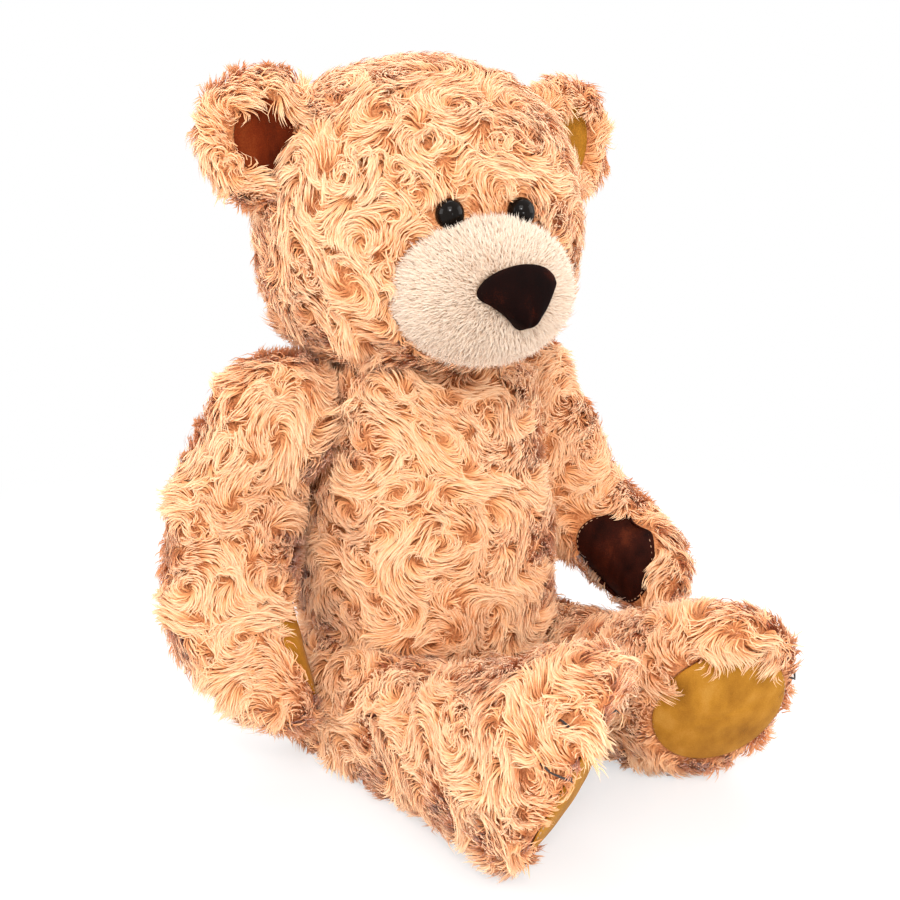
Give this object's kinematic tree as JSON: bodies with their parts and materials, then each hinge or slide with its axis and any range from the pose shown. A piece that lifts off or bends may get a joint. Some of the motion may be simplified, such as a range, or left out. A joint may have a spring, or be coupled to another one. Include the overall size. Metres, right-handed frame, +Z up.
{
  "type": "jointed teddy bear",
  "caption": "Seated plush teddy bear with curly fur, a short-pile muzzle, and a head, arms and legs that turn on bolted disc joints.",
  "frame": {"origin": "middle of the flat seat under the torso, on the surface that the bear sits on, below the neck joint's axis", "axes": "+Z up along the neck joint's axis; the bear faces -Y; its left side is +X"},
  "size_m": [0.324, 0.3109, 0.4115],
  "materials": {
    "fur": "long curly plush in swirled tufts, peach tan with cream tips",
    "muzzle_plush": "short straight cream plush",
    "nose_velour": "smooth dark brown velour",
    "ear_velour": "smooth red-brown velour",
    "paw_velour": "smooth dark brown velour",
    "sole_velour": "smooth golden tan velour",
    "claw_thread": "black embroidery thread",
    "seam_thread": "tan sewing thread",
    "eye_plastic": "polished black",
    "stuffing": "white polyester fibre",
    "hardboard": "pressed hardboard, smooth face",
    "steel": "zinc-plated"
  },
  "bodies": {
    "torso": {"torso_front": "fur", "torso_back": "fur", "torso_stuffing": "stuffing", "back_seam_thread": "seam_thread", "neck_body_disc": "hardboard", "shoulder_body_discs": "hardboard", "hip_body_discs": "hardboard", "body_washers": "steel"},
    "head": {"head_left": "fur", "head_right": "fur", "head_gusset": "fur", "head_stuffing": "stuffing", "muzzle": "muzzle_plush", "muzzle_stuffing": "stuffing", "nose": "nose_velour", "left_eye": "eye_plastic", "right_eye": "eye_plastic", "eye_washers": "steel", "left_ear": "fur", "right_ear": "fur", "left_ear_lining": "sole_velour", "right_ear_lining": "ear_velour", "neck_head_disc": "hardboard", "neck_head_washer": "steel", "neck_bolt": "steel", "neck_nut": "steel"},
    "left_arm": {"left_arm_outer": "fur", "left_arm_inner": "fur", "left_arm_stuffing": "stuffing", "left_paw_pad": "paw_velour", "left_arm_disc": "hardboard", "left_arm_washer": "steel", "left_shoulder_bolt": "steel", "left_shoulder_nut": "steel"},
    "right_arm": {"right_arm_outer": "fur", "right_arm_inner": "fur", "right_arm_stuffing": "stuffing", "right_paw_pad": "sole_velour", "right_arm_disc": "hardboard", "right_arm_washer": "steel", "right_shoulder_bolt": "steel", "right_shoulder_nut": "steel"},
    "left_leg": {"left_leg_outer": "fur", "left_leg_inner": "fur", "left_leg_stuffing": "stuffing", "left_foot_pad": "sole_velour", "left_claw_threads": "claw_thread", "left_leg_disc": "hardboard", "left_leg_washer": "steel", "left_hip_bolt": "steel", "left_hip_nut": "steel"},
    "right_leg": {"right_leg_outer": "fur", "right_leg_inner": "fur", "right_leg_stuffing": "stuffing", "right_foot_pad": "sole_velour", "right_claw_threads": "claw_thread", "right_leg_disc": "hardboard", "right_leg_washer": "steel", "right_hip_bolt": "steel", "right_hip_nut": "steel"}
  },
  "joints": [
    {"name": "neck_turn", "type": "hinge", "parent": "torso", "child": "head", "pos_m": [0, 0, 0.241], "axis": [0, 0, 1], "range_deg": [-46, 74]},
    {"name": "left_shoulder", "type": "hinge", "parent": "torso", "child": "left_arm", "pos_m": [0.064, 0.01, 0.213], "axis": [-1, 0, 0], "range_deg": [-78, 52]},
    {"name": "right_shoulder", "type": "hinge", "parent": "torso", "child": "right_arm", "pos_m": [-0.064, 0.01, 0.213], "axis": [-1, 0, 0], "range_deg": [-47, 83]},
    {"name": "left_hip", "type": "hinge", "parent": "torso", "child": "left_leg", "pos_m": [0.044, -0.008, 0.0385], "axis": [1, 0, 0], "range_deg": [0, 95]},
    {"name": "right_hip", "type": "hinge", "parent": "torso", "child": "right_leg", "pos_m": [-0.044, -0.008, 0.0385], "axis": [1, 0, 0], "range_deg": [0, 95]}
  ]
}
